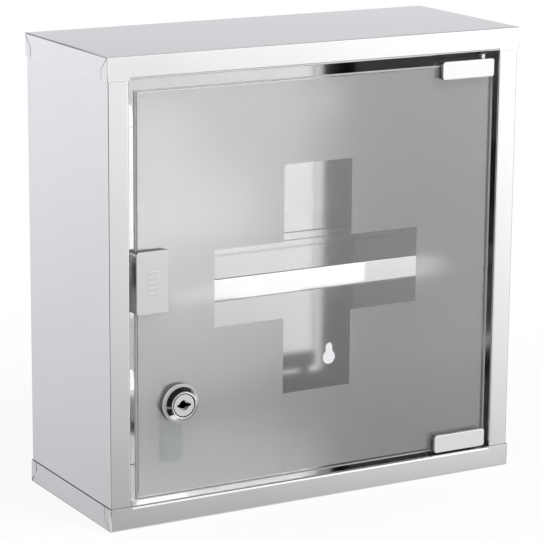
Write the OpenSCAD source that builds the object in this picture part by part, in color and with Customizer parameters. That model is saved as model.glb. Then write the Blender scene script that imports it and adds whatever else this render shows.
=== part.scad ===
// Lockable wall cabinet: folded stainless steel case, one shelf, pivoted glass door
// with a clear cross in its frosting, a cam lock and a magnetic push latch.
// Modules draw from the cabinet's lower left front corner: x to the right, y to the
// wall, z up. seat() then moves them to the origin, the centre of the wall keyholes.

/* [Case] */
// Width of the case
cab_w = 300; // [290:10:400]
// Height of the case
cab_h = 300; // [290:10:400]
// Depth of the case
cab_d = 120; // [110:5:160]
// Thickness of the sheet
sheet = 0.8; // [0.6:0.1:1]
// Outside radius of the folds
fold_r = 1.2; // [1.1:0.1:1.6]
// Outside radius of the folds between the pans' front flanges and their lips
lip_r = 1.8; // [1.2:0.1:2]
// Height of the top and bottom pans' flanges
cap_flange = 15; // [13:1:18]
// Width of the upright frame strips beside the door
stile_w = 15; // [13:1:16]
// Depth of the lips that are folded inwards round the door opening
lip_d = 12; // [10:0.5:12.5]
// Width of the corner tabs that wrap on to the sides
tab_w = 8.5; // [7:0.5:10]

/* [Shelf] */
// Height of the shelf's top face above the case's base
shelf_z = 145; // [135:1:147]
// Distance of the shelf's front edge behind the case's front
shelf_y = 39; // [36:1:50]
// Height of the shelf's front flange
shelf_flange = 15; // [10:1:20]
// Height of the shelf's rear flange above its top face
shelf_back = 5.5; // [4:0.5:8]

/* [Door] */
// Thickness of the glass
glass_t = 5; // [4:0.5:5]
// Distance of the glass's face behind the case's front
glass_y = 2; // [1.5:0.5:3]
// Gap between the opening and the glass on the lock side
gap_left = 5.3; // [5:0.1:6.5]
// Gap between the opening and the glass on the hinge side
gap_right = 3.7; // [3.5:0.1:5]
// Gap below the glass
gap_bottom = 2.9; // [2.8:0.1:3.2]
// Gap above the glass
gap_top = 7.5; // [7:0.1:8]
// Length of each bar of the clear cross
cross_size = 150; // [120:5:180]
// Width of each bar of the clear cross
cross_arm = 50; // [40:2:60]
// Clear border of the frosting
frost_border = 1.5; // [1:0.5:5]

/* [Hinges] */
// Width of a hinge clip
clip_w = 40; // [34:1:48]
// Height of a hinge clip
clip_h = 12; // [11:0.5:16]
// Wall thickness of the clips
clip_t = 2.2; // [1.8:0.1:2.4]
// Thickness of the pads between the clips and the glass
pad_t = 0.6; // [0.4:0.1:0.8]
// Distance of the pivot from the glass's edge
pivot_in = 7.5; // [7:0.5:9]
// Diameter of the pivot pins
pin_d = 4; // [3:0.5:4]

/* [Latch] */
// Width of the push plate on the glass
strike_w = 22.4; // [20:0.2:26]
// Height of the push plate
strike_h = 40; // [32:1:46]
// Height of the push plate's centre above the case's base
strike_z = 158; // [158:1:160]
// Distance that the latch is pushed in
latch_stroke = 3; // [2:0.5:3]

/* [Lock] */
// Distance of the lock's axis from the case's left side
lock_x = 50; // [48:0.5:54]
// Height of the lock's axis above the case's base
lock_z = 77.5; // [70:0.5:90]
// Reach of the cam from the lock's axis
cam_reach = 42; // [40:1:44]
// Width of the cam
cam_w = 15; // [12:1:16]

/* [Wall keyholes] */
// Distance between the keyholes across
key_dx = 154; // [100:2:200]
// Distance between the keyholes up
key_dz = 180; // [120:2:200]
// Diameter of a keyhole's entry
key_d = 10; // [8:0.5:11]
// Width of a keyhole's slot
key_slot = 5.5; // [4:0.5:6]
// Overall height of a keyhole
key_h = 15.4; // [14:0.2:18]

/* [Hidden] */
$fn = 64;

cut = 1;              // how far a cutting tool runs past a face
arc_steps = 6;        // flats in a quarter turn of a fold
half = sheet / 2;

// Door opening and glass
open_x0 = stile_w;
open_x1 = cab_w - stile_w;
open_z0 = cap_flange;
open_z1 = cab_h - cap_flange;
glass_x0 = open_x0 + gap_left;
glass_x1 = open_x1 - gap_right;
glass_z0 = open_z0 + gap_bottom;
glass_z1 = open_z1 - gap_top;
glass_back = glass_y + glass_t;
frost_t = 0.1;
arris = 0.5;
frost_back = glass_back + frost_t;
lock_hole_d = 19.2;

// Hinge clips: they grip the glass's right corners, and the pins stand on the mid-glass line
clip_y0 = glass_y - pad_t - clip_t;
clip_y1 = frost_back + pad_t + clip_t;
clip_x1 = glass_x1 - 1.2;
clip_x0 = clip_x1 - clip_w;
clip_web = 1;
clip_bottom_z = glass_z0 - clip_web;
clip_top_z = glass_z1 + 2.2 + clip_web;
clip_corner = 2.4;
clip_edge = 0.6;
pivot_x = glass_x1 - pivot_in;
pivot_y = glass_y + glass_t / 2;
pin_fit = 0.05;
bush_d = 6;
bush_flange_d = 7.6;
bush_reach = 4;
pin_play = 0.1;
grub_d = 4;
grub_length = 2.6;
grub_inset = 6;       // of a clip's grub screws from its middle, to each side

// Push plate and latch
strike_web = 1.2;
strike_x0 = glass_x0 - pad_t - strike_web;
rib_count = 5;
rib_pitch = 3.4;
rib_length = 6.2;
rib_d = 2;
rib_rise = 0.35;      // of a rib above the plate's face
magnet_d = 10;
magnet_play = 0.1;
magnet_face_y = clip_y1 + magnet_play;
magnet_t = 2.9;
cup_d = 12;
cup_back_y = magnet_face_y + 5.9;
latch_x = strike_x0 + strike_w / 2;
latch_size = 14;
latch_y0 = cup_back_y + latch_stroke + 0.5;
latch_length = 40;
latch_base_z = strike_z - latch_size / 2;
plunger_d = 9;
plunger_length = 32;
latch_wall = 2;
ear_w = 7.5;
ear_t = 3;
ear_length = 18;
ear_screw = 10.75;    // from the latch's axis to each screw
bracket_t = 1;
bracket_y0 = latch_y0 + 4;
bracket_y1 = latch_y0 + latch_length - 2;
bracket_leg = 21;
spring_turns = 9;

// Lock, along Y through the glass
lock_front_y = glass_y - 6;
ring_d = 25;
ring_t = 0.8;
bezel_d = 22.4;
bezel_rim = 0.65;     // radius of the rounded rim round the plug
barrel_d = 18.4;
barrel_end_y = 14.6;
plug_face_d = 15;
plug_body_d = 12;
plug_face_y = lock_front_y + 0.3;
plug_edge = 0.2;
plug_step_y = 1;
plug_fit = 0.05;
spindle_w = 8;
cam_y = barrel_end_y + 0.4;
cam_t = 1.6;
cam_hole = 0.05;
keyway_length = 9.6;
keyway_w = 1.8;
keyway_eye_d = 4.6;
keyway_dish_d = 7;
keyway_dish = 1.2;    // depth of the dish round the keyway's eye
keyway_depth = 12;
washer_t = 0.9;
nut_af = 24;
nut_t = 3.5;

// Wall keyholes, centred on the case as whole shapes; the origin is the entries' centre
key_rise = key_h - key_d / 2 - key_slot / 2;
origin = [cab_w / 2, cab_d - sheet, cab_h / 2 - key_h / 2 + key_d / 2];

// --- Outlines ---------------------------------------------------------------

function unit(v) = v / norm(v);
function left(v) = [-v[1], v[0]];
function reversed(v) = [for (i = [len(v) - 1:-1:0]) v[i]];

// Points of a round corner of radius r about c, from angle a0 through the angle sweep
function arc(c, r, a0, sweep, n = arc_steps) =
    [for (i = [0:n]) c + r * [cos(a0 + sweep * i / n), sin(a0 + sweep * i / n)]];

// One side of a folded strip: the path's bends become arcs, off is the shift to the left
function bend(a, b, c, off, r) =
    let (u = unit(b - a), w = unit(c - b), s = sign(cross(u, w)), turn = acos(u * w),
         centre = b - r * tan(turn / 2) * u + s * r * left(u), out = -s * left(u))
    arc(centre, r - s * off, atan2(out[1], out[0]), s * turn);

function strip_side(path, off, r) =
    let (n = len(path) - 1)
    concat(
        [path[0] + off * left(unit(path[1] - path[0]))],
        [for (k = [1:n - 1]) each bend(path[k - 1], path[k], path[k + 1], off, r)],
        [path[n] + off * left(unit(path[n] - path[n - 1]))]
    );

// Section of a sheet of thickness t folded along the mid-line path
function strip(path, t = sheet, r = fold_r) =
    concat(strip_side(path, t / 2, r - t / 2), reversed(strip_side(path, -t / 2, r - t / 2)));

function round_rect(w, h, r) =
    concat(arc([r, r], r, 180, 90), arc([w - r, r], r, 270, 90),
           arc([w - r, h - r], r, 0, 90), arc([r, h - r], r, 90, 90));

function round_top(w, h, r) =
    concat([[0, 0], [w, 0]], arc([w - r, h - r], r, 0, 90), arc([r, h - r], r, 90, 90));

function chamfered(w, h, c) =
    [[c, 0], [w - c, 0], [w, c], [w, h - c], [w - c, h], [c, h], [0, h - c], [0, c]];

// --- Placing ----------------------------------------------------------------

module seat() { translate(-origin) children(); }

// Extrusions whose outline lies in the YZ or the XZ plane
module along_x(x0, x1) { translate([x0, 0, 0]) rotate([90, 0, 90]) linear_extrude(x1 - x0) children(); }
module along_y(y0, y1) { translate([0, y1, 0]) rotate([90, 0, 0]) linear_extrude(y1 - y0) children(); }

// A round bar along Y, between two depths
module bar_y(x, z, d, y0, y1) {
    translate([x, y0, z]) rotate([-90, 0, 0]) cylinder(d = d, h = y1 - y0);
}

module lock_bar(d, y0, y1) { bar_y(lock_x, lock_z, d, y0, y1); }

// A cast block w wide, d deep and h high: round corners on its face, every edge broken
module cast_block(w, d, h) {
    intersection() {
        along_y(0, d) polygon(round_rect(w, h, clip_corner));
        along_x(0, w) polygon(round_rect(d, h, clip_edge));
        linear_extrude(h) polygon(round_rect(w, d, clip_edge));
    }
}

// --- Case -------------------------------------------------------------------

module soft_block(w, d, h, r) {
    intersection() {
        linear_extrude(h) polygon(round_rect(w, d, r));
        along_x(0, w) polygon(round_top(d, h, r));
        along_y(0, d) polygon(round_top(w, h, r));
    }
}

// Cut that frees one corner tab: down a slant from the corner, then straight to the edge
module tab_slit(width) {
    start = sheet + 0.2;
    polygon(strip([[start, cap_flange - start], [tab_w, cap_flange - tab_w], [tab_w, -cut]], width, width));
}

// A pan whose four flanges hang down; the front one is also folded inwards below its edge
module pan(rear_slit) {
    front_slit = 0.4;
    lip_gap = 0.4;
    lip_x0 = stile_w + lip_gap;
    lip_x1 = cab_w - lip_x0;
    lip_cut = lip_r + 0.1;
    difference() {
        soft_block(cab_w, cab_d, cap_flange, fold_r);
        translate([sheet, sheet, -cut])
            soft_block(cab_w - 2 * sheet, cab_d - 2 * sheet, cap_flange + cut - sheet, fold_r - sheet);
        for (x = [-cut, cab_w - sheet - half / 2]) {
            along_x(x, x + cut + sheet + half / 2) tab_slit(front_slit);
            along_x(x, x + cut + sheet + half / 2)
                translate([cab_d, 0]) mirror([1, 0]) tab_slit(rear_slit);
        }
        translate([lip_x0, -cut, -cut]) cube([lip_x1 - lip_x0, cut + sheet + half / 2, cut + lip_cut]);
    }
    difference() {
        along_x(lip_x0, lip_x1)
            polygon(strip([[half, lip_cut + half], [half, half], [lip_d, half]], sheet, lip_r));
        translate([pivot_x, pivot_y, -cut]) cylinder(d = bush_d, h = sheet + 2 * cut);
    }
}

module top_cap() {
    color("gainsboro") seat() translate([0, 0, cab_h - cap_flange]) pan(0.6);
}

// The bottom pan's rear tabs stand further off
module bottom_cap() {
    color("gainsboro") seat() translate([0, 0, cap_flange]) mirror([0, 0, 1]) pan(1.3);
}

// Side wall with its frame strip, the strip's inward lip and a rear flange
module side() {
    wall = sheet + half;
    rear = cab_d - 2 * sheet - half;
    rear_flange = 15;
    translate([0, 0, fold_r]) linear_extrude(cab_h - 2 * fold_r)
        polygon(strip([
            [stile_w - half, lip_d], [stile_w - half, wall], [wall, wall], [wall, rear], [rear_flange, rear]
        ]));
}

module left_side() { color("lightgray") seat() side(); }
module right_side() { color("lightgray") seat() translate([cab_w, 0, 0]) mirror([1, 0, 0]) side(); }

module keyhole() {
    circle(d = key_d);
    translate([0, key_rise]) circle(d = key_slot);
    translate([-key_slot / 2, 0]) square([key_slot, key_rise]);
}

module back_panel() {
    color("silver") seat() along_y(cab_d - 2 * sheet, cab_d - sheet) difference() {
        translate([fold_r, fold_r]) square([cab_w - 2 * fold_r, cab_h - 2 * fold_r]);
        for (sx = [-1, 1], sz = [-1, 1])
            translate([origin[0] + sx * key_dx / 2, origin[2] + sz * key_dz / 2]) keyhole();
    }
}

// Shelf: a tray folded down at the front and ends and up at the back, welded to the case
module shelf() {
    inside = 2 * sheet;
    plate_z = shelf_z - half;
    rear_y = cab_d - inside - half;
    corner = 15.5;
    end_lip = 11;
    end_y0 = shelf_y + 2;
    end_y1 = cab_d - 5;
    color("gainsboro") seat() {
        difference() {
            along_x(inside, cab_w - inside)
                polygon(strip([
                    [shelf_y + half, shelf_z - shelf_flange], [shelf_y + half, plate_z],
                    [rear_y, plate_z], [rear_y, shelf_z + shelf_back]
                ]));
            for (x = [0, cab_w - corner])
                translate([x, end_y1, shelf_z - cut]) cube([corner, cab_d, shelf_back + 3 * cut]);
            for (x = [0, cab_w - 2 * inside])
                translate([x, end_y0, shelf_z - 2 * cut]) cube([2 * inside, cab_d, shelf_back + 3 * cut]);
        }
        for (flip = [0, 1])
            translate([flip * cab_w, 0, 0]) mirror([flip, 0, 0])
                along_y(end_y0, end_y1)
                    polygon(strip([
                        [inside + half, plate_z - end_lip], [inside + half, plate_z], [corner, plate_z]
                    ]));
    }
}

// --- Pivots -----------------------------------------------------------------

// Flanged bush with its flange on z = 0 to -flange and its barrel above
module bush(flange) {
    difference() {
        union() {
            translate([0, 0, -flange]) cylinder(d = bush_flange_d, h = flange);
            cylinder(d = bush_d - 0.04, h = bush_reach);
        }
        translate([0, 0, -flange - cut]) cylinder(d = pin_d + 2 * pin_fit, h = flange + bush_reach + 2 * cut);
    }
}

module top_pivot_bush() {
    color("dimgray") seat() translate([pivot_x, pivot_y, open_z1]) bush(1.4);
}

module bottom_pivot_bush() {
    color("dimgray") seat() translate([pivot_x, pivot_y, open_z0]) mirror([0, 0, 1])
        bush(clip_bottom_z - open_z0 - pin_play);
}

// Pin through the web of a clip; z = 0 is the web's inner face, the tip points up
module pivot_pin(length) {
    tip = 0.8;
    cylinder(d = pin_d, h = length - tip);
    translate([0, 0, length - tip]) cylinder(d1 = pin_d, d2 = pin_d - 1.2 * tip, h = tip);
}

module hinge_pin_top() {
    start = clip_top_z - clip_web;
    color("silver") seat() translate([pivot_x, pivot_y, start]) pivot_pin(open_z1 + bush_reach - start - 0.5);
}

module hinge_pin_bottom() {
    color("silver") seat() translate([pivot_x, pivot_y, glass_z0]) mirror([0, 0, 1])
        pivot_pin(glass_z0 - open_z0 + bush_reach - 0.5);
}

// --- Hinge clips ------------------------------------------------------------

// U clip over the glass's upper edge; z = 0 is its outer face and it hangs down from there
module clip() {
    difference() {
        translate([clip_x0, clip_y0, -clip_h]) cast_block(clip_w, clip_y1 - clip_y0, clip_h);
        translate([clip_x0 - cut, clip_y0 + clip_t, -clip_h - cut])
            cube([clip_w + 2 * cut, clip_y1 - clip_y0 - 2 * clip_t, clip_h + cut - clip_web]);
        translate([pivot_x, pivot_y, -clip_web - cut]) cylinder(d = pin_d + 0.04, h = clip_web + 2 * cut);
        for (x = grub_x()) bar_y(x, -clip_h / 2 - 0.5, grub_d, frost_back, clip_y1 + cut);
    }
}

function grub_x() = [for (s = [-1, 1]) (clip_x0 + clip_x1) / 2 + s * grub_inset];

// Two flat pads, one on each face of the glass, a little smaller than the clip
module clip_pads() {
    pad_in = 0.3;
    depth = clip_h - 3.5;
    for (y = [clip_y0 + clip_t, frost_back])
        translate([clip_x0 + pad_in, y, -clip_h + pad_in]) cube([clip_w - 2 * pad_in, pad_t, depth]);
}

module at_top() { translate([0, 0, clip_top_z]) children(); }
module at_bottom() { translate([0, 0, clip_bottom_z]) mirror([0, 0, 1]) children(); }

module hinge_clip_top() { color("whitesmoke") seat() at_top() clip(); }
module hinge_clip_bottom() { color("whitesmoke") seat() at_bottom() clip(); }
module hinge_pads_top() { color("dimgray") seat() at_top() clip_pads(); }
module hinge_pads_bottom() { color("dimgray") seat() at_bottom() clip_pads(); }

// Headless screw along Y with a hexagon socket in its outer end
module grub_screw(x, z) {
    y0 = clip_y1 - clip_t;
    socket = 1.5;
    difference() {
        bar_y(x, z, grub_d - 0.1, y0, y0 + grub_length);
        translate([x, y0 + grub_length - socket, z]) rotate([-90, 0, 0])
            cylinder(d = 2.3, h = socket + cut, $fn = 6);
    }
}

module hinge_grub_screws() {
    color("silver") seat() for (x = grub_x()) {
        at_top() grub_screw(x, -clip_h / 2 - 0.5);
        at_bottom() grub_screw(x, -clip_h / 2 - 0.5);
    }
}

// --- Glass ------------------------------------------------------------------

// Pane with its long edges ground off at 45 degrees
module door_glass() {
    color("lightcyan", 0.35) seat() difference() {
        translate([glass_x0, glass_y, glass_z0]) intersection() {
            along_x(0, glass_x1 - glass_x0) polygon(chamfered(glass_t, glass_z1 - glass_z0, arris));
            linear_extrude(glass_z1 - glass_z0) polygon(chamfered(glass_x1 - glass_x0, glass_t, arris));
        }
        lock_bar(lock_hole_d, glass_y - cut, glass_back + cut);
    }
}

// Satin layer on the back of the glass, with the cross and the lock's hole left clear
module door_frosting() {
    mid_x = (glass_x0 + glass_x1) / 2;
    mid_z = (glass_z0 + glass_z1) / 2;
    color("gainsboro", 0.8) seat() difference() {
        along_y(glass_back, frost_back) difference() {
            translate([glass_x0 + frost_border, glass_z0 + frost_border])
                square([glass_x1 - glass_x0 - 2 * frost_border, glass_z1 - glass_z0 - 2 * frost_border]);
            translate([mid_x, mid_z]) square([cross_size, cross_arm], center = true);
            translate([mid_x, mid_z]) square([cross_arm, cross_size], center = true);
        }
        lock_bar(lock_hole_d, glass_back - cut, frost_back + cut);
    }
}

// --- Push plate -------------------------------------------------------------

strike_screws = [-1, 1] * (strike_h / 2 - 5);

// U clip over the glass's left edge, with grip ribs on its face
module strike_plate() {
    bottom = strike_z - strike_h / 2;
    color("whitesmoke") seat() {
        difference() {
            translate([strike_x0, clip_y0, bottom]) cast_block(strike_w, clip_y1 - clip_y0, strike_h);
            translate([strike_x0 + strike_web, clip_y0 + clip_t, bottom - cut])
                cube([strike_w, clip_y1 - clip_y0 - 2 * clip_t, strike_h + 2 * cut]);
            for (dz = strike_screws) bar_y(latch_x, strike_z + dz, grub_d, frost_back, clip_y1 + cut);
        }
        for (i = [0:rib_count - 1])
            translate([latch_x - rib_length / 2, clip_y0 - rib_rise + rib_d / 2,
                       strike_z + rib_pitch * (i - (rib_count - 1) / 2)])
                rotate([0, 90, 0]) cylinder(d = rib_d, h = rib_length);
    }
}

module strike_pads() {
    pad_in = 0.3;
    x0 = glass_x0 + pad_in;
    color("dimgray") seat() for (y = [clip_y0 + clip_t, frost_back])
        translate([x0, y, strike_z - strike_h / 2 + pad_in])
            cube([strike_x0 + strike_w - pad_in - x0, pad_t, strike_h - 2 * pad_in]);
}

module strike_grub_screws() {
    color("silver") seat() for (dz = strike_screws) grub_screw(latch_x, strike_z + dz);
}

// --- Latch ------------------------------------------------------------------

// Angle bracket welded to the left wall; its ledge carries the latch
module latch_bracket() {
    wall = 2 * sheet + bracket_t / 2;
    ledge = latch_base_z - bracket_t / 2;
    ledge_end = latch_x + latch_size / 2 + ear_w + 1.5;
    color("lightgray") seat() difference() {
        along_y(bracket_y0, bracket_y1)
            polygon(strip([[wall, ledge + bracket_leg], [wall, ledge], [ledge_end, ledge]],
                          bracket_t, bracket_t + 0.8));
        for (s = [-1, 1])
            translate([latch_x + s * ear_screw, latch_y0 + latch_length / 2, ledge - cut])
                cylinder(d = 3.3, h = 2 * cut);
    }
}

// Moulded housing with two slotted ears, bored from the front for the plunger
module latch_body() {
    mid_y = latch_y0 + latch_length / 2;
    slot = 4;
    color("whitesmoke") seat() difference() {
        union() {
            along_y(latch_y0, latch_y0 + latch_length)
                translate([latch_x - latch_size / 2, latch_base_z])
                    polygon(round_rect(latch_size, latch_size, 1.5));
            translate([latch_x - latch_size / 2 - ear_w, mid_y - ear_length / 2, latch_base_z])
                linear_extrude(ear_t) polygon(round_rect(latch_size + 2 * ear_w, ear_length, 3));
        }
        bar_y(latch_x, strike_z, plunger_d + 0.1, latch_y0 - cut, latch_y0 + latch_length - latch_wall);
        for (s = [-1, 1]) translate([latch_x + s * ear_screw, mid_y, latch_base_z - cut]) {
            translate([-1.7, -slot / 2, 0]) cube([3.4, slot, ear_t + 2 * cut]);
            for (e = [-1, 1]) translate([0, e * slot / 2, 0]) cylinder(d = 3.4, h = ear_t + 2 * cut);
        }
    }
}

// Two pan head screws through the ears into the bracket
module latch_screws() {
    head_d = 6;
    head_t = 1.9;
    color("silver") seat() for (s = [-1, 1])
        translate([latch_x + s * ear_screw, latch_y0 + latch_length / 2, latch_base_z]) {
            translate([0, 0, -3]) cylinder(d = 3.2, h = 3 + ear_t);
            difference() {
                translate([0, 0, ear_t]) cylinder(d1 = head_d, d2 = head_d - 1.2, h = head_t);
                for (a = [0, 90]) translate([0, 0, ear_t + head_t]) rotate([0, 0, a])
                    cube([3.4, 0.8, 2], center = true);
            }
        }
}

// Plunger: a hollow rod with a cup at its front for the magnet
module latch_plunger() {
    rod_end = cup_back_y + plunger_length;
    color("gainsboro") seat() difference() {
        union() {
            bar_y(latch_x, strike_z, cup_d, magnet_face_y + 0.5, cup_back_y);
            bar_y(latch_x, strike_z, plunger_d, cup_back_y - half, rod_end);
        }
        bar_y(latch_x, strike_z, magnet_d + 0.1, magnet_face_y - cut, magnet_face_y + magnet_t);
        bar_y(latch_x, strike_z, 7, cup_back_y + 10, rod_end + cut);
    }
}

module latch_magnet() {
    color("dimgray") seat() bar_y(latch_x, strike_z, magnet_d, magnet_face_y, magnet_face_y + magnet_t);
}

// Coil spring between the plunger and the housing's end wall, drawn as long as it is when pushed
module latch_spring() {
    wire = 0.7;
    coil_r = 2.8;
    sides = 6;
    steps = 14;
    y0 = cup_back_y + 10 + latch_stroke + wire;
    y1 = latch_y0 + latch_length - latch_wall - wire;
    rings = spring_turns * steps;
    ring = function (i) let (a = 360 * i / steps) [
        for (j = [0:sides - 1]) let (b = 360 * j / sides, r = coil_r + wire / 2 * cos(b))
            [r * cos(a), y0 + (y1 - y0) * i / rings + wire / 2 * sin(b), r * sin(a)]
    ];
    points = [for (i = [0:rings]) each ring(i)];
    skin = [for (i = [0:rings - 1], j = [0:sides - 1]) let (k = (j + 1) % sides)
        [i * sides + j, i * sides + k, (i + 1) * sides + k, (i + 1) * sides + j]];
    first = reversed([for (j = [0:sides - 1]) j]);
    last = [for (j = [0:sides - 1]) rings * sides + j];
    color("silver") seat() translate([latch_x, 0, strike_z])
        polyhedron(points = points, faces = concat(skin, [first, last]), convexity = 6);
}

// --- Lock -------------------------------------------------------------------

// Turned shapes are drawn as [radius, depth] profiles and revolved about the lock's axis
module turned(profile) {
    translate([lock_x, 0, lock_z]) rotate([-90, 0, 0]) rotate_extrude() polygon(profile);
}

// Bezel and barrel in one piece: a rounded rim, a 45 degree bevel and a stepped bore for the plug
module lock_housing() {
    bezel_back = glass_y - ring_t;
    bore = plug_face_d / 2 + plug_fit;
    rim_y = lock_front_y + bezel_rim;
    rim_outer = bore + 2 * bezel_rim;
    color("silver") seat() difference() {
        turned(concat(
            arc([bore + bezel_rim, rim_y], bezel_rim, 180, 180),
            [
                [bezel_d / 2, rim_y + bezel_d / 2 - rim_outer], [bezel_d / 2, bezel_back],
                [barrel_d / 2, bezel_back], [barrel_d / 2, barrel_end_y],
                [plug_body_d / 2 + plug_fit, barrel_end_y],
                [plug_body_d / 2 + plug_fit, plug_step_y + plug_fit], [bore, plug_step_y + plug_fit]
            ]
        ));
        for (s = [-1, 1])
            translate([lock_x + s * (barrel_d - 1.6) / 2, (frost_back + barrel_end_y) / 2 + 1, lock_z])
                translate([s * 2, 0, 0]) cube([4, barrel_end_y - frost_back + 2, barrel_d], center = true);
    }
}

module ring_y(outer, inner, y0, y1) {
    difference() {
        lock_bar(outer, y0, y1);
        lock_bar(inner, y0 - cut, y1 + cut);
    }
}

module lock_face_ring() {
    color("lightgray") seat() ring_y(ring_d, barrel_d + 0.2, glass_y - ring_t, glass_y);
}

module lock_washer() {
    color("silver") seat() ring_y(26, barrel_d + 0.2, frost_back, frost_back + washer_t);
}

module lock_nut() {
    y0 = frost_back + washer_t;
    color("silver") seat() difference() {
        translate([lock_x, y0, lock_z]) rotate([-90, 0, 0])
            cylinder(d = nut_af / cos(30), h = nut_t, $fn = 6);
        lock_bar(barrel_d + 0.04, y0 - cut, y0 + nut_t + cut);
    }
}

// Plug with its keyway, and a square spindle behind for the cam
module lock_plug() {
    spindle_end = cam_y + cam_t - 0.1;
    color("gainsboro") seat() difference() {
        union() {
            turned([
                [0, plug_face_y], [plug_face_d / 2 - plug_edge, plug_face_y],
                [plug_face_d / 2, plug_face_y + plug_edge], [plug_face_d / 2, plug_step_y], [0, plug_step_y]
            ]);
            lock_bar(plug_body_d, plug_step_y - half, barrel_end_y + 0.2);
            translate([lock_x - spindle_w / 2, barrel_end_y, lock_z - spindle_w / 2])
                cube([spindle_w, spindle_end - barrel_end_y, spindle_w]);
        }
        translate([lock_x - keyway_length / 2, plug_face_y - cut, lock_z - keyway_w / 2])
            cube([keyway_length, cut + keyway_depth, keyway_w]);
        lock_bar(keyway_eye_d, plug_face_y - cut, plug_face_y + keyway_depth);
        turned([
            [0, plug_face_y - cut], [keyway_dish_d / 2, plug_face_y - cut], [keyway_dish_d / 2, plug_face_y],
            [keyway_eye_d / 2, plug_face_y + keyway_dish], [0, plug_face_y + keyway_dish]
        ]);
        lock_bar(4, spindle_end - 4, spindle_end + cut);
    }
}

// Cam: a flat lever on the spindle, hanging down while the lock is open
module lock_cam() {
    r = 3;
    top = cam_w / 2;
    color("silver") seat() difference() {
        along_y(cam_y, cam_y + cam_t)
            translate([lock_x - cam_w / 2, lock_z - cam_reach]) polygon(concat(
                arc([r, r], r, 180, 90), arc([cam_w - r, r], r, 270, 90),
                arc([cam_w / 2, cam_reach], top, 0, 180, 4 * arc_steps)));
        translate([lock_x - spindle_w / 2 - cam_hole, cam_y - cut, lock_z - spindle_w / 2 - cam_hole])
            cube([spindle_w + 2 * cam_hole, cam_t + 2 * cut, spindle_w + 2 * cam_hole]);
    }
}

module lock_cam_washer() {
    color("silver") seat() ring_y(12, 4.3, cam_y + cam_t, cam_y + cam_t + 0.7);
}

module lock_cam_screw() {
    y0 = cam_y + cam_t + 0.7;
    head = 1.8;
    color("silver") seat() {
        lock_bar(3.9, y0 - 4, y0);
        difference() {
            turned([[0, y0], [3.8, y0], [3.6, y0 + head - 0.5], [2.9, y0 + head], [0, y0 + head]]);
            for (a = [0, 90]) translate([lock_x, y0 + head, lock_z]) rotate([0, a, 0])
                cube([4, 2, 0.9], center = true);
        }
    }
}

top_cap();
bottom_cap();
left_side();
right_side();
back_panel();
shelf();
top_pivot_bush();
bottom_pivot_bush();
latch_bracket();
latch_body();
latch_screws();
latch_spring();
latch_plunger();
latch_magnet();
door_glass();
door_frosting();
hinge_clip_top();
hinge_clip_bottom();
hinge_pads_top();
hinge_pads_bottom();
hinge_pin_top();
hinge_pin_bottom();
hinge_grub_screws();
strike_plate();
strike_pads();
strike_grub_screws();
lock_housing();
lock_face_ring();
lock_washer();
lock_nut();
lock_plug();
lock_cam();
lock_cam_washer();
lock_cam_screw();
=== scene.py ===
# %% [markdown]
# # A lockable medicine cabinet in bright stainless sheet
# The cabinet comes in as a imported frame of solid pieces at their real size: a folded case, a pivoted
# glass door, a push latch and a cam lock. This lesson gives each piece its finish, stands the cabinet in
# a studio and looks at it from the front left. Nothing is moved or resized, so every pin still sits in
# its bush.

# %% Load the frame
import math

import bpy
from mathutils import Matrix, Vector


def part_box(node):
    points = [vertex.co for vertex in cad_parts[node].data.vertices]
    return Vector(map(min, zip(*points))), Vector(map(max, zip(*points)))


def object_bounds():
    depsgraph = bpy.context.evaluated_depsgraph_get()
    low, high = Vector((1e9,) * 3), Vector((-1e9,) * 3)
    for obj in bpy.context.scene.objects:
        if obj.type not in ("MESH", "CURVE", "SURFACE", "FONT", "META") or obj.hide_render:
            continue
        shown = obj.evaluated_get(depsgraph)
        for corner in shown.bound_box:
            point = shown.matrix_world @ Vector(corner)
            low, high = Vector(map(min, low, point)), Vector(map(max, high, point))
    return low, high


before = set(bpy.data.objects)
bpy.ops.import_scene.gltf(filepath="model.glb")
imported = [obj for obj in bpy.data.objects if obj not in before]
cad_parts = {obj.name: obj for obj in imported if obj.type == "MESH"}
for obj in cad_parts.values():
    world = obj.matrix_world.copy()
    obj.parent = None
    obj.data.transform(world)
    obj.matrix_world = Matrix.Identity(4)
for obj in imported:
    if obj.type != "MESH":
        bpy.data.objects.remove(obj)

cad_low, cad_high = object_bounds()
MM = 0.001
print("the cabinet measures", [round((b - a) / MM, 1) for a, b in zip(cad_low, cad_high)], "mm")

# %% [markdown]
# ## The camera
# Product photographs of small cabinets are taken from several paces with a long lens, so that upright
# edges stay nearly parallel. The place and the two angles below were found by matching the seven visible
# corners of the case, and the lens follows from how large the case stands in the square picture.

# %% Place the camera
CAMERA_PLACE = Vector((-0.8096, -1.4812, 0.3809))
CAMERA_YAW = math.radians(29.57)
CAMERA_PITCH = math.radians(13.34)
CAMERA_ROLL = math.radians(-0.43)
PICTURE_PIXELS = 540
FOCAL_PIXELS = 2545.5
SENSOR_WIDTH_MM = 36.0

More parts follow.
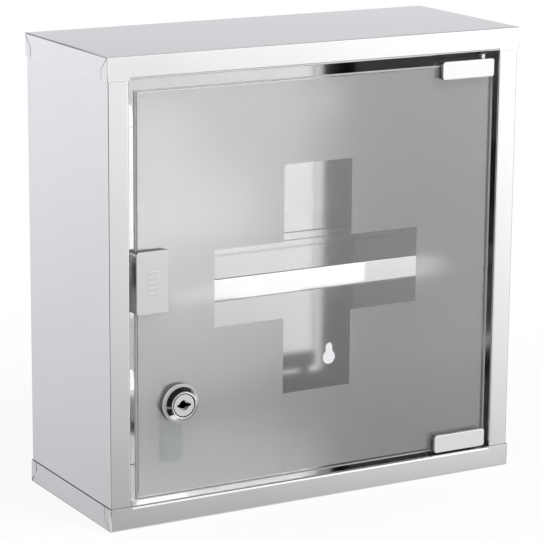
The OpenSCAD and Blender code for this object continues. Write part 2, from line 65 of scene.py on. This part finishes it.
ahead = Vector((
    math.sin(CAMERA_YAW) * math.cos(CAMERA_PITCH),
    math.cos(CAMERA_YAW) * math.cos(CAMERA_PITCH),
    -math.sin(CAMERA_PITCH),
))
level = Vector((math.cos(CAMERA_YAW), -math.sin(CAMERA_YAW), 0.0))
right = Matrix.Rotation(CAMERA_ROLL, 3, ahead) @ level
camera = bpy.data.objects.new("camera", bpy.data.cameras.new("camera"))
bpy.context.scene.collection.objects.link(camera)
bpy.context.scene.camera = camera
camera.data.sensor_width = SENSOR_WIDTH_MM
camera.data.lens = FOCAL_PIXELS * SENSOR_WIDTH_MM / PICTURE_PIXELS
turned = Matrix((right, right.cross(ahead), -ahead)).transposed().to_4x4()
camera.matrix_world = Matrix.Translation(CAMERA_PLACE) @ turned
bpy.context.scene.view_settings.view_transform = "Standard"
print("the lens is", round(camera.data.lens), "mm")

# %% [markdown]
# ## Shader maths as plain sums
# A finish is a small network of nodes. Written out one node at a time it is hard to read, so a wire, the
# output of a node, gets the signs + - and *. A line such as 1 - mask * 0.5 then adds its own Math nodes.

# %% Wires and recipes
class Wire:
    """The output of a shader node, which can stand in a sum."""

    def __init__(self, socket):
        self.socket = socket

    def maths(self, operation, first, second=0.0):
        recipe = Recipe(self.socket.id_data)
        return recipe.add("ShaderNodeMath", {"operation": operation}, {0: first, 1: second})

    def __add__(self, other):
        return self.maths("ADD", self, other)

    def __sub__(self, other):
        return self.maths("SUBTRACT", self, other)

    def __rsub__(self, other):
        return self.maths("SUBTRACT", other, self)

    def __mul__(self, other):
        return self.maths("MULTIPLY", self, other)

    __radd__ = __add__
    __rmul__ = __mul__


def find(sockets, key):
    """A socket by its place, by its identifier or by its name."""
    if isinstance(key, int):
        return sockets[key]
    return next((s for s in sockets if s.identifier == key), None) or sockets[key]


class Recipe:
    """The nodes of one material or of the world."""

    def __init__(self, tree):
        self.tree = tree

    def add(self, kind, settings=None, sockets=None, out=0):
        """Adds a node: its settings first, then the values or the wires of its sockets."""
        node = self.tree.nodes.new(kind)
        for name, value in (settings or {}).items():
            setattr(node, name, value)
        for key, value in (sockets or {}).items():
            if isinstance(value, Wire):
                self.tree.links.new(value.socket, find(node.inputs, key))
            else:
                find(node.inputs, key).default_value = value
        return Wire(find(node.outputs, out))

    def place(self):
        """Where a point of the piece is, in metres, on the closed and still cabinet."""
        return self.add("ShaderNodeTexCoord", out="Object")

    def apart(self, vector):
        """The three numbers of a vector."""
        first = self.add("ShaderNodeSeparateXYZ", sockets={0: vector})
        return [Wire(socket) for socket in first.socket.node.outputs]

    def soft_step(self, value, low, high):
        """0 below low, 1 above high, and a smooth way between. low may be the larger."""
        return self.add(
            "ShaderNodeMapRange",
            {"interpolation_type": "SMOOTHSTEP"},
            {"Value": value, "From Min": low, "From Max": high},
        )

    def noise(self, vector, stretch, detail=2.0, rough=0.5):
        """A cloudy value from 0 to 1 with stretch waves in a metre, which may differ along X, Y and Z."""
        scaled = self.add("ShaderNodeVectorMath", {"operation": "MULTIPLY"}, {0: vector, 1: stretch})
        return self.add(
            "ShaderNodeTexNoise", {}, {"Vector": scaled, "Scale": 1.0, "Detail": detail, "Roughness": rough}
        )

    def blend(self, share, first, second):
        """A colour between two colours."""
        return self.add(
            "ShaderNodeMix",
            {"data_type": "RGBA"},
            {"Factor_Float": share, "A_Color": first, "B_Color": second},
            "Result_Color",
        )

    def bump(self, height, depth, under=None):
        """A normal tilted by height, a wire from 0 to 1, that stands for depth metres."""
        sockets = {"Height": height, "Distance": depth, "Strength": 1.0}
        if under is not None:
            sockets["Normal"] = under
        return self.add("ShaderNodeBump", {}, sockets)


def rgb(red, green, blue):
    """A colour as the shaders take it, with no see-through."""
    return (red, green, blue, 1.0)


def shaded(colour, share):
    """A share of a colour."""
    return rgb(*[c * share for c in colour[:3]])


WHITE = rgb(1.0, 1.0, 1.0)


def new_finish(name):
    """An empty material and its recipe."""
    material = bpy.data.materials.new(name)
    material.use_nodes = True
    material.node_tree.nodes.clear()
    return material, Recipe(material.node_tree)


def close_finish(recipe, shader):
    """Wires the last shader to the material's output."""
    end = recipe.tree.nodes.new("ShaderNodeOutputMaterial")
    recipe.tree.links.new(shader.socket, end.inputs["Surface"])


# %% [markdown]
# ## The studio
# Polished metal has no colour of its own to show: it looks like the room. So the room is drawn with care,
# as a set of cards round the cabinet, each a soft-edged window in azimuth and elevation. Azimuth 0 is
# straight in front of the door and grows to the right. A white sweep stands behind, a large white card at
# the front right and one at the left, and the floor is white.
#
# Between the front card and the rest of the room runs a narrow black band, a full ring of directions that
# all lie some eighty degrees from the ring's axis. It is seen in the bevel of the lock, which turns black
# with a crisp edge, and in each fold as one thin dark line. Without it, bright metal in a white room has
# no form.
#
# Only mirrored and refracted rays see the cards. The camera sees plain white, and matt surfaces get even
# light.

# %% Cards with soft edges
def card(around, left, right, foot, head):
    """A card's share of a direction. Each edge is soft between two angles in degrees, told by around."""
    across = room.soft_step(around, left[0], left[1]) * room.soft_step(around, right[1], right[0])
    upright = room.soft_step(elevation, foot[0], foot[1]) * room.soft_step(elevation, head[1], head[0])
    return across * upright


def brightest(first, *others):
    """The largest of several wires."""
    for other in others:
        first = first.maths("MAXIMUM", first, other)
    return first


# %% Hang the cards in the world
SWEEP_STRENGTH = 1.24
FRONT_RIGHT_STRENGTH = 1.65
LEFT_STRENGTH = 1.15
FLOOR_STRENGTH = 0.95
FLOOR_FROM, FLOOR_FULL = -26, -40

world = bpy.data.worlds.new("studio")
world.use_nodes = True
world.node_tree.nodes.clear()
bpy.context.scene.world = world
room = Recipe(world.node_tree)
toward_x, toward_y, toward_z = room.apart(room.add("ShaderNodeTexCoord", out="Generated"))
DEGREES = 180 / math.pi
azimuth = toward_x.maths("ARCTAN2", toward_x, toward_y * -1.0) * DEGREES
elevation = toward_z.maths("ARCSINE", toward_z) * DEGREES
distance_round = azimuth.maths("ABSOLUTE", azimuth)

# Each pair below holds the two angles between which an edge is soft: left, right, foot and head.
sweep = card(distance_round, (112, 138), (200, 220), (-45, 5), (-4, 25)) * SWEEP_STRENGTH
front_right_card = card(azimuth, (2, 42), (66, 88), (-31, -5), (34, 50)) * FRONT_RIGHT_STRENGTH
left_card = card(azimuth, (-150, -112), (-96, -86), (-80, -50), (40, 60)) * LEFT_STRENGTH
white_floor = room.soft_step(elevation, FLOOR_FROM, FLOOR_FULL) * FLOOR_STRENGTH
tent = brightest(sweep, front_right_card, left_card, white_floor)
print("four cards hang round the cabinet")

# %% [markdown]
# The ring is a band of directions whose share along the ring's axis stays close to one value. Below the
# cabinet it fades, because the floor covers it. Far to the left it widens into a black panel, which gives
# the upright fold beside it a bolder line. Below the panel's foot the ring has a gap, because seen from
# the right the whole front of the case would mirror it and turn black.
#
# The door's glass looks into the bare tent. Its light has to cross the frosting twice, so the front right
# card is brighter there. The left card and the floor, which would wash out the inside, are weaker.
# Mirrored rays also see a plain grey room, a bright ceiling and a wide, less bright front card, so that
# the front isn't black from another side.

# %% Hang the black ring
RING_AXIS = Vector((0.365, -0.909, -0.200))
RING_SHARE = 0.171
RING_HALF_WIDTH = (0.150, 0.090)
RING_FADES = (-70, -60)
along_ring_axis = toward_x * RING_AXIS.x + toward_y * RING_AXIS.y + toward_z * RING_AXIS.z
off_ring = along_ring_axis.maths("ABSOLUTE", along_ring_axis - RING_SHARE)
ring_gap = card(azimuth, (-70, -64), (-54, -48), (-29, -25), (-17, -14))
whole_ring = room.soft_step(off_ring, *RING_HALF_WIDTH) * room.soft_step(elevation, *RING_FADES)
black_ring = whole_ring * (1 - ring_gap)
black_panel = card(azimuth, (-88, -80), (-58, -52), (-19, -16), (20, 40))
not_black = 1 - brightest(black_ring, black_panel)

# %% Mix what mirrors and what glass see
FRONT_STRENGTH = 1.15
CEILING_FROM, CEILING_FULL = 18, 34
CEILING_STRENGTH = 0.9
GREY_ROOM = 0.26
DARKEST = 0.012
CARD_IN_GLASS = 1.6
LEFT_IN_GLASS = 0.7
FLOOR_IN_GLASS = 0.25
front_card = card(azimuth, (-60, -40), (60, 85), (-31, -5), (40, 70)) * FRONT_STRENGTH
ceiling = room.soft_step(elevation, CEILING_FROM, CEILING_FULL) * CEILING_STRENGTH
mirrored = not_black * brightest(tent, front_card, ceiling, GREY_ROOM) + DARKEST
seen_in_glass = brightest(
    sweep,
    front_right_card * CARD_IN_GLASS,
    left_card * LEFT_IN_GLASS,
    white_floor * FLOOR_IN_GLASS,
)
refracted = seen_in_glass + DARKEST

# %% Light the world
EVEN_LIGHT = 0.62
SWEEP_COLOUR = rgb(0.985, 0.978, 1.03)
path = room.add("ShaderNodeLightPath", out="Is Camera Ray")
glossy = Wire(path.socket.node.outputs["Is Glossy Ray"])
through = Wire(path.socket.node.outputs["Is Transmission Ray"])
sees_cards = glossy.maths("MAXIMUM", glossy, through)
matt_or_camera = path * (1.0 - EVEN_LIGHT) + EVEN_LIGHT
strength = through * refracted + (1 - through) * (glossy * mirrored + (1 - glossy) * matt_or_camera)
colour = room.blend(sweep * sees_cards, WHITE, SWEEP_COLOUR)
background = room.add("ShaderNodeBackground", {}, {"Color": colour, "Strength": strength})
end = world.node_tree.nodes.new("ShaderNodeOutputWorld")
world.node_tree.links.new(background.socket, end.inputs["Surface"])
print("the room has", len(world.node_tree.nodes), "nodes")

# %% [markdown]
# ## Floor and lamps
# The cabinet stands on a white floor that keeps a faint shadow close to the case and turns into pure
# white further out. Mirrors and glass look through the floor to the cards. Two large soft lamps give matt
# and satin parts a light side. They stay out of the mirrors, because the cards are already there.

# %% Make the floor
FLOOR_SIZE = 30.0
FLOOR_PAPER = rgb(0.93, 0.93, 0.93)
SHADOW_SHARE = 0.14
SHADOW_NEAR, SHADOW_FAR = 0.15, 0.55
floor_mesh = bpy.data.meshes.new("floor")
half = FLOOR_SIZE / 2
floor_mesh.from_pydata(
    [(x * half, y * half, cad_low.z) for x, y in ((-1, -1), (1, -1), (1, 1), (-1, 1))], [], [(0, 1, 2, 3)]
)
floor = bpy.data.objects.new("floor", floor_mesh)
bpy.context.scene.collection.objects.link(floor)

# Mirrored and refracted rays pass the paper, and the camera sees it turn pure white further out.
paper, recipe = new_finish("floor_paper")
path = recipe.add("ShaderNodeLightPath", out="Is Camera Ray")
glossy = Wire(path.socket.node.outputs["Is Glossy Ray"])
through = Wire(path.socket.node.outputs["Is Transmission Ray"])
out_from_case = recipe.add("ShaderNodeVectorMath", {"operation": "LENGTH"}, {0: recipe.place()}, "Value")
away = recipe.soft_step(out_from_case, SHADOW_NEAR, SHADOW_FAR)
pure_white = away * SHADOW_SHARE + (1.0 - SHADOW_SHARE)
matt = recipe.add("ShaderNodeBsdfDiffuse", {}, {"Color": FLOOR_PAPER})
shine = recipe.add("ShaderNodeEmission", {}, {"Color": WHITE, "Strength": 1.0})
clear = recipe.add("ShaderNodeBsdfTransparent")
seen = recipe.add("ShaderNodeMixShader", {}, {0: path * pure_white, 1: matt, 2: shine})
sees_cards = glossy.maths("MAXIMUM", glossy, through)
surface = recipe.add("ShaderNodeMixShader", {}, {0: sees_cards, 1: seen, 2: clear})
close_finish(recipe, surface)
floor_mesh.materials.append(paper)
print("floor at", round(cad_low.z / MM, 1), "mm")


# %% Set up two lamps
def lamp(name, place, size, watts):
    """A square soft lamp that looks at the cabinet."""
    data = bpy.data.lights.new(name, "AREA")
    data.size = size
    data.energy = watts
    one = bpy.data.objects.new(name, data)
    bpy.context.scene.collection.objects.link(one)
    one.location = place
    one.rotation_mode = "QUATERNION"
    one.rotation_quaternion = (-Vector(place)).to_track_quat("-Z", "Y")
    one.visible_glossy = False
    one.visible_transmission = False
    one.visible_camera = False
    print(name, "gives", watts, "watts")


lamp("key_lamp", place=(0.9, -1.6, 1.5), size=1.2, watts=26)
lamp("fill_lamp", place=(-1.8, -0.6, 0.9), size=1.0, watts=10)

# %% [markdown]
# ## Stainless sheet
# The case is folded from bright stainless sheet. Rolling leaves a very fine grain along the sheet,
# handling leaves faint clouds, and the sheet is never quite flat, so mirrored edges waver a little. The
# grain and the clouds drive the roughness and a slow bump gives the waver. Each sheet has its own grain
# direction, which is why the finish is a function with the grain as a parameter.

# %% The finish of a sheet
STEEL_LIGHT = rgb(0.785, 0.785, 0.789)
STEEL_DARK = rgb(0.725, 0.725, 0.730)
# Painted highlight: the flat bright colour of the line along the caps' flange edges.
PAINTED_HIGHLIGHT_LINE = rgb(0.93, 0.93, 0.93)
# Painted shade: the flat dark colour of the line beside the caps' flanges and along the shelf's rims.
PAINTED_SHADE_LINE = rgb(0.22, 0.22, 0.22)
CAP_FLANGE = 15 * MM
SEAM_WIDTH = 0.5 * MM
REAR_RIM = (-0.8 * MM, -0.5 * MM)
LIP_RIM = (0.9 * MM, 0.6 * MM)
WAVES_ACROSS_GRAIN = 2600.0
WAVES_ALONG_GRAIN = 14.0
CLOUD_WAVES = (16.0,) * 3
BUCKLE_WAVES = (7.0,) * 3
GRAIN_DEPTH = 0.0000005
ROUGHNESS_SPREAD = 0.05


def beside_the_seams(recipe, up):
    """Where a line of painted shade or painted highlight goes: 1 at the two heights where the flange of a cap
    ends on the walls, 0 elsewhere.
    """
    heights = (cad_high.z - CAP_FLANGE, cad_low.z + CAP_FLANGE)
    offsets = [up - height for height in heights]
    return brightest(*[recipe.soft_step(o.maths("ABSOLUTE", o), SEAM_WIDTH, SEAM_WIDTH / 2) for o in offsets])


def along_shelf_rims(recipe, up):
    """Where a line of painted shade goes: 1 on the cut edge of the shelf's rear flange and on that of its
    front lip.
    """
    low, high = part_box("shelf")
    return brightest(
        recipe.soft_step(up, high.z + REAR_RIM[0], high.z + REAR_RIM[1]),
        recipe.soft_step(up, low.z + LIP_RIM[0], low.z + LIP_RIM[1]),
    )


def stainless(name, grain, smooth=0.13, waver=0.00012, painted_line=None, where=beside_the_seams):
    """Bright sheet whose grain runs along "X", "Y" or "Z". In the places where, it takes a line of painted
    shade or painted highlight in the given colour.
    """
    material, recipe = new_finish(name)
    place = recipe.place()
    stretch = tuple(WAVES_ALONG_GRAIN if axis == grain else WAVES_ACROSS_GRAIN for axis in "XYZ")
    lines = recipe.noise(place, stretch, 2.0)
    cloud = recipe.noise(place, CLOUD_WAVES, 3.0, 0.55)
    buckle = recipe.noise(place, BUCKLE_WAVES, 0.0)
    colour = recipe.blend(cloud, STEEL_DARK, STEEL_LIGHT)
    # Here a line of painted shade or painted highlight is laid into the sheet's colour.
    if painted_line is not None:
        colour = recipe.blend(where(recipe, recipe.apart(place)[2]), colour, painted_line)
    roughness = lines * ROUGHNESS_SPREAD + cloud * ROUGHNESS_SPREAD + smooth - ROUGHNESS_SPREAD
    wavy = recipe.bump(buckle, waver)
    normal = recipe.bump(lines, GRAIN_DEPTH, wavy)
    shader = recipe.add(
        "ShaderNodeBsdfPrincipled",
        {},
        {"Base Color": colour, "Metallic": 1.0, "Roughness": roughness, "Normal": normal},
    )
    close_finish(recipe, shader)
    return material


# %% [markdown]
# ## Smooth folds
# The sheet is bent in a press brake, so each fold is a small round. The frame holds it as six narrow
# flats, and every flat would mirror its own strip of the room. A modifier joins the borders of the faces
# and shades them as one surface where they meet at a shallow angle. A second one gives each corner the
# direction of its largest face, so that the wide walls stay flat right up to the fold. No point of the
# mesh moves.

# %% Shade the folds of the sheet as rounds
SHARP_FROM = math.radians(32)
WELD_DISTANCE = 0.01 * MM
LARGEST_FACE_WINS = 100


def fold_shading():
    """The node group of the modifier: one smooth surface with sharp edges where the angle is large."""
    group = bpy.data.node_groups.new("fold_shading", "GeometryNodeTree")
    for way in ("INPUT", "OUTPUT"):
        group.interface.new_socket("Geometry", in_out=way, socket_type="NodeSocketGeometry")
    recipe = Recipe(group)
    sheet = recipe.add("NodeGroupInput", out="Geometry")
    stored = {"Geometry": sheet, "Name": "custom_normal"}
    sheet = recipe.add("GeometryNodeRemoveAttribute", {}, stored, "Geometry")
    sheet = recipe.add("GeometryNodeMergeByDistance", {}, {"Geometry": sheet, "Distance": WELD_DISTANCE})
    sheet = recipe.add("GeometryNodeSetShadeSmooth", {"domain": "FACE"}, {0: sheet, "Shade Smooth": True})
    angle = recipe.add("GeometryNodeInputMeshEdgeAngle", out="Unsigned Angle")
    is_sharp = angle.maths("GREATER_THAN", angle, SHARP_FROM)
    sharp_edges = {0: sheet, "Selection": is_sharp, "Shade Smooth": False}
    sheet = recipe.add("GeometryNodeSetShadeSmooth", {"domain": "EDGE"}, sharp_edges)
    end = group.nodes.new("NodeGroupOutput")
    group.links.new(sheet.socket, end.inputs["Geometry"])
    return group


FOLDED = ["top_cap", "bottom_cap", "left_side", "right_side", "shelf", "latch_bracket"]
shared_group = fold_shading()
for name in FOLDED:
    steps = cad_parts[name].modifiers
    steps.new("fold_shading", "NODES").node_group = shared_group
    weighted = steps.new("flat_walls", "WEIGHTED_NORMAL")
    weighted.keep_sharp = True
    weighted.weight = LARGEST_FACE_WINS
print(len(FOLDED), "folded sheets are shaded smooth")

# %% [markdown]
# ## Glass and frosting
# The door is clear tempered glass. Its polished faces are clear and its ground rim is satin and faintly
# green; the rim is drawn opaque and whitish, partly real ground glass and partly painted light for the glow
# that leaves the glass at its edge. The frosting is a thin satin layer on its back. Most of the light that
# passes is spread a little, so the shelf behind shows as a soft band. The rest is haze, spread widely, which
# hides the back panel.
# One shader would give only one width, so two are mixed. Shadow rays pass straight through, because
# otherwise the cabinet would be dark inside.

# %% Light that passes a pane
SMEAR_WAVES = (22.0,) * 3


def smears(recipe):
    """How wiped a pane is, from 0 to 1."""
    return recipe.noise(recipe.place(), SMEAR_WAVES, 3.0, 0.6)


def passing(recipe, colour, roughness, index, share):
    """A shader that lets a share of the light through, spread by its roughness."""
    return recipe.add(
        "ShaderNodeBsdfPrincipled",
        {},
        {"Base Color": colour, "Roughness": roughness, "IOR": index, "Transmission Weight": share},
    )


def close_pane(recipe, pane, shade):
    """Lets shadow rays pass in the colour shade, and closes the finish."""
    open_way = recipe.add("ShaderNodeBsdfTransparent", {}, {"Color": shade})
    lamp_ray = recipe.add("ShaderNodeLightPath", out="Is Shadow Ray")
    close_finish(recipe, recipe.add("ShaderNodeMixShader", {}, {0: lamp_ray, 1: pane, 2: open_way}))


# %% The finish of the glass
GLASS_FACE = rgb(0.985, 0.990, 0.987)
GLASS_RIM = rgb(0.93, 0.95, 0.94)
GLASS_SHADE = rgb(0.95, 0.97, 0.96)
GLASS_INDEX = 1.75
GLASS_SMEAR = 0.01
RIM_ROUGHNESS = 0.5
RIM_FROM, RIM_FULL = 0.8, 0.5

glass, recipe = new_finish("clear_glass")
facing = recipe.apart(recipe.add("ShaderNodeTexCoord", out="Normal"))[1]
rim = recipe.soft_step(facing.maths("ABSOLUTE", facing), RIM_FROM, RIM_FULL)
face_roughness = smears(recipe) * GLASS_SMEAR + rim * RIM_ROUGHNESS
faces = passing(recipe, recipe.blend(rim, GLASS_FACE, GLASS_RIM), face_roughness, GLASS_INDEX, 1.0)
# The rim is partly real ground glass and partly painted light: an opaque whitish satin that stands for the
# glow leaving the glass edge.
ground_and_painted_glow = recipe.add("ShaderNodeBsdfPrincipled", {}, {"Base Color": GLASS_RIM, "Roughness": RIM_ROUGHNESS})
close_pane(recipe, recipe.add("ShaderNodeMixShader", {}, {0: rim, 1: faces, 2: ground_and_painted_glow}), GLASS_SHADE)
print("the glass has an index of", GLASS_INDEX)

# %% The finish of the frosting
FROST_COLOUR = rgb(0.985, 0.988, 0.986)
FROST_SHADE = rgb(0.75, 0.77, 0.76)
FROST_INDEX = 1.35
FROST_SMEAR = 0.05
FROST_PASSES = 0.93
FROST_SPREAD = 0.29
HAZE_SPREAD = 0.75
HAZE_SHARE = 0.4

frosting, recipe = new_finish("satin_frosting")
lobes = [
    passing(recipe, FROST_COLOUR, smears(recipe) * FROST_SMEAR + spread, FROST_INDEX, FROST_PASSES)
    for spread in (FROST_SPREAD, HAZE_SPREAD)
]
pane = recipe.add("ShaderNodeMixShader", {}, {0: HAZE_SHARE, 1: lobes[0], 2: lobes[1]})
close_pane(recipe, pane, FROST_SHADE)
print(round(HAZE_SHARE * 100), "percent of the frosting's light is haze")

# %% [markdown]
# The frosting's front would lie in exactly the same plane as the back of the glass, and a ray that meets
# two surfaces at once takes either. A Displace modifier sets the layer back by a twentieth of a
# millimetre.

# %% Set the frosting off the glass
FILM_GAP = 0.05 * MM
film_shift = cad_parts["door_frosting"].modifiers.new("off_the_glass", "DISPLACE")
film_shift.direction = "Y"
film_shift.mid_level = 0.0
film_shift.strength = FILM_GAP
print("the frosting lies", round(FILM_GAP / MM, 3), "mm behind the glass")

# %% [markdown]
# ## Cast and plated metal
# The hinge clips and the push plate are die castings with satin chrome, and the push plate's copy of it is
# darker, which is painted shade. The lock is bright chrome, with a turned face on its plug, and black painted
# shade lies in its keyway and in the groove round its plug. Screws, nut and cam are bright zinc, a little
# bluer and duller.

# %% Where shade is painted on the lock
plug_low, plug_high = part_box("lock_plug")
PLUG_FACE_RADIUS = 7.5 * MM
FACE_EDGE = (-0.5 * MM, -0.3 * MM)
GROOVE = (0.4 * MM, 0.15 * MM)
KEYWAY_DEPTH = (1.0 * MM, 1.6 * MM)
# Painted shade: the black laid into the groove, the keyway and the edge of the plug's face.
PAINTED_RECESS_SHADE = rgb(0.012, 0.012, 0.013)


def from_lock_axis(recipe):
    """How far a point is from the lock's axis."""
    centre = ((plug_low.x + plug_high.x) / 2, 0.0, (plug_low.z + plug_high.z) / 2)
    off = recipe.add("ShaderNodeVectorMath", {"operation": "SUBTRACT"}, {0: recipe.place(), 1: centre})
    flat = recipe.add("ShaderNodeVectorMath", {"operation": "MULTIPLY"}, {0: off, 1: (1.0, 0.0, 1.0)})
    return recipe.add("ShaderNodeVectorMath", {"operation": "LENGTH"}, {0: flat}, "Value")


def painted_shade_in_plug(recipe):
    """Painted shade: 1 in the keyway and along the edge of the plug's face."""
    inward = recipe.apart(recipe.place())[1] - plug_low.y
    edge = recipe.soft_step(from_lock_axis(recipe), *[PLUG_FACE_RADIUS + step for step in FACE_EDGE])
    return brightest(edge, recipe.soft_step(inward, *KEYWAY_DEPTH))


def painted_shade_in_housing(recipe):
    """Painted shade: 1 in the groove round the plug."""
    return recipe.soft_step(from_lock_axis(recipe), *[PLUG_FACE_RADIUS + step for step in GROOVE])


# %% Plated finishes
PLATED_CLOUD_WAVES = (90.0,) * 3
PLATED_CLOUD_SHADE = 0.93
PLATED_UNEVEN = 0.04


def plated(name, colour, rough, grain_size, depth, painted_shade_places=None):
    """Plated metal with a fine uneven skin. grain_size is in waves per metre. Where a mask is given, painted
    shade turns those places black.
    """
    material, recipe = new_finish(name)
    place = recipe.place()
    skin = recipe.noise(place, (grain_size,) * 3, 3.0, 0.6)
    cloud = recipe.noise(place, PLATED_CLOUD_WAVES, 2.0)
    seen_colour = recipe.blend(cloud, shaded(colour, PLATED_CLOUD_SHADE), colour)
    # Painted shade: black laid where the mask picks.
    if painted_shade_places is not None:
        seen_colour = recipe.blend(painted_shade_places(recipe), seen_colour, PAINTED_RECESS_SHADE)
    shader = recipe.add(
        "ShaderNodeBsdfPrincipled",
        {},
        {
            "Base Color": seen_colour,
            "Metallic": 1.0,
            "Roughness": cloud * PLATED_UNEVEN + rough,
            "Normal": recipe.bump(skin, depth),
        },
    )
    close_finish(recipe, shader)
    return material


# Name, colour, roughness, waves in a metre, and depth of the skin in metres.
satin_chrome = plated("satin_chrome", rgb(0.88, 0.88, 0.895), 0.30, 1800.0, 0.000003)
# The push plate's satin chrome is a darker copy: its darker tone is painted shade.
shaded_satin_chrome = plated("shaded_satin_chrome", rgb(0.74, 0.74, 0.755), 0.33, 1800.0, 0.000004)
lock_chrome = plated("lock_chrome", rgb(0.82, 0.82, 0.83), 0.06, 700.0, 0.000001, painted_shade_places=painted_shade_in_housing)
lock_face = plated("lock_face", rgb(0.82, 0.82, 0.83), 0.20, 2400.0, 0.000002, painted_shade_places=painted_shade_in_plug)
bright_zinc = plated("bright_zinc", rgb(0.62, 0.635, 0.66), 0.26, 1500.0, 0.000004)
ground_steel = plated("ground_steel", rgb(0.74, 0.74, 0.75), 0.16, 2400.0, 0.000002)
print("six plated finishes")

# %% [markdown]
# ## Plastics, rubber and magnet
# Moulded plastic has a fine leathery skin and a slightly uneven gloss. The pads between clip and glass
# are black rubber, the pivot bushes black nylon, the latch white with a grey plunger and a dark sintered
# magnet.

# %% Moulded finishes
MOULDED_CLOUD_WAVES = (60.0,) * 3
MOULDED_CLOUD_SHADE = 0.88
MOULDED_UNEVEN = 0.12


def moulded(name, colour, rough, grain_size=1400.0, depth=0.00001):
    """Plastic or rubber with a grained skin."""
    material, recipe = new_finish(name)
    place = recipe.place()
    skin = recipe.noise(place, (grain_size,) * 3, 2.0)
    cloud = recipe.noise(place, MOULDED_CLOUD_WAVES, 2.0)
    shader = recipe.add(
        "ShaderNodeBsdfPrincipled",
        {},
        {
            "Base Color": recipe.blend(cloud, shaded(colour, MOULDED_CLOUD_SHADE), colour),
            "Roughness": skin * MOULDED_UNEVEN + rough,
            "Normal": recipe.bump(skin, depth),
        },
    )
    close_finish(recipe, shader)
    return material


# Name, colour and roughness; the magnet also has a finer and deeper skin.
black_nylon = moulded("black_nylon", rgb(0.030, 0.030, 0.033), 0.38)
pad_rubber = moulded("pad_rubber", rgb(0.022, 0.022, 0.024), 0.62)
latch_white = moulded("latch_white", rgb(0.80, 0.80, 0.78), 0.36)
latch_grey = moulded("latch_grey", rgb(0.36, 0.37, 0.38), 0.40)
ring_grey = moulded("ring_grey", rgb(0.56, 0.57, 0.57), 0.30)
magnet_black = moulded("magnet_black", rgb(0.050, 0.050, 0.055), 0.48, 2200.0, 0.00002)
print("six moulded finishes")

# %% [markdown]
# ## Dressing the pieces
# Each node of the frame gets its finish by name. The grain of the walls runs up and down, that of the
# caps and the shelf from side to side, as the blanks are cut from the strip.

# %% Put a finish on every node
FINISHES = {
    # The caps take a line of painted highlight along their flanges' edges.
    "top_cap": stainless("steel_top_cap", "X", painted_line=PAINTED_HIGHLIGHT_LINE),
    "bottom_cap": stainless("steel_bottom_cap", "X", painted_line=PAINTED_HIGHLIGHT_LINE),
    # The walls take a line of painted shade just beside the caps' flange edges.
    "left_side": stainless("steel_left_side", "Z", painted_line=PAINTED_SHADE_LINE),
    "right_side": stainless("steel_right_side", "Z", painted_line=PAINTED_SHADE_LINE),
    "back_panel": stainless("steel_back_panel", "Z", 0.10),
    # The shelf takes a line of painted shade along its two rims.
    "shelf": stainless("steel_shelf", "X", painted_line=PAINTED_SHADE_LINE, where=along_shelf_rims),
    "latch_bracket": stainless("steel_bracket", "X", 0.22),
    "top_pivot_bush": black_nylon,
    "bottom_pivot_bush": black_nylon,
    "latch_body": latch_white,
    "latch_screws": bright_zinc,
    "latch_spring": ground_steel,
    "latch_plunger": latch_grey,
    "latch_magnet": magnet_black,
    "door_glass": glass,
    "door_frosting": frosting,
    "hinge_clip_top": satin_chrome,
    "hinge_clip_bottom": satin_chrome,
    "hinge_pads_top": pad_rubber,
    "hinge_pads_bottom": pad_rubber,
    "hinge_pin_top": ground_steel,
    "hinge_pin_bottom": ground_steel,
    "hinge_grub_screws": bright_zinc,
    "strike_plate": shaded_satin_chrome,
    "strike_pads": pad_rubber,
    "strike_grub_screws": bright_zinc,
    "lock_housing": lock_chrome,
    "lock_face_ring": ring_grey,
    "lock_washer": bright_zinc,
    "lock_nut": bright_zinc,
    "lock_plug": lock_face,
    "lock_cam": bright_zinc,
    "lock_cam_washer": bright_zinc,
    "lock_cam_screw": bright_zinc,
}
for name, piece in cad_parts.items():
    piece.data.materials.clear()
    piece.data.materials.append(FINISHES[name])
print(len(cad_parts), "nodes carry", len({m.name for m in FINISHES.values()}), "finishes")
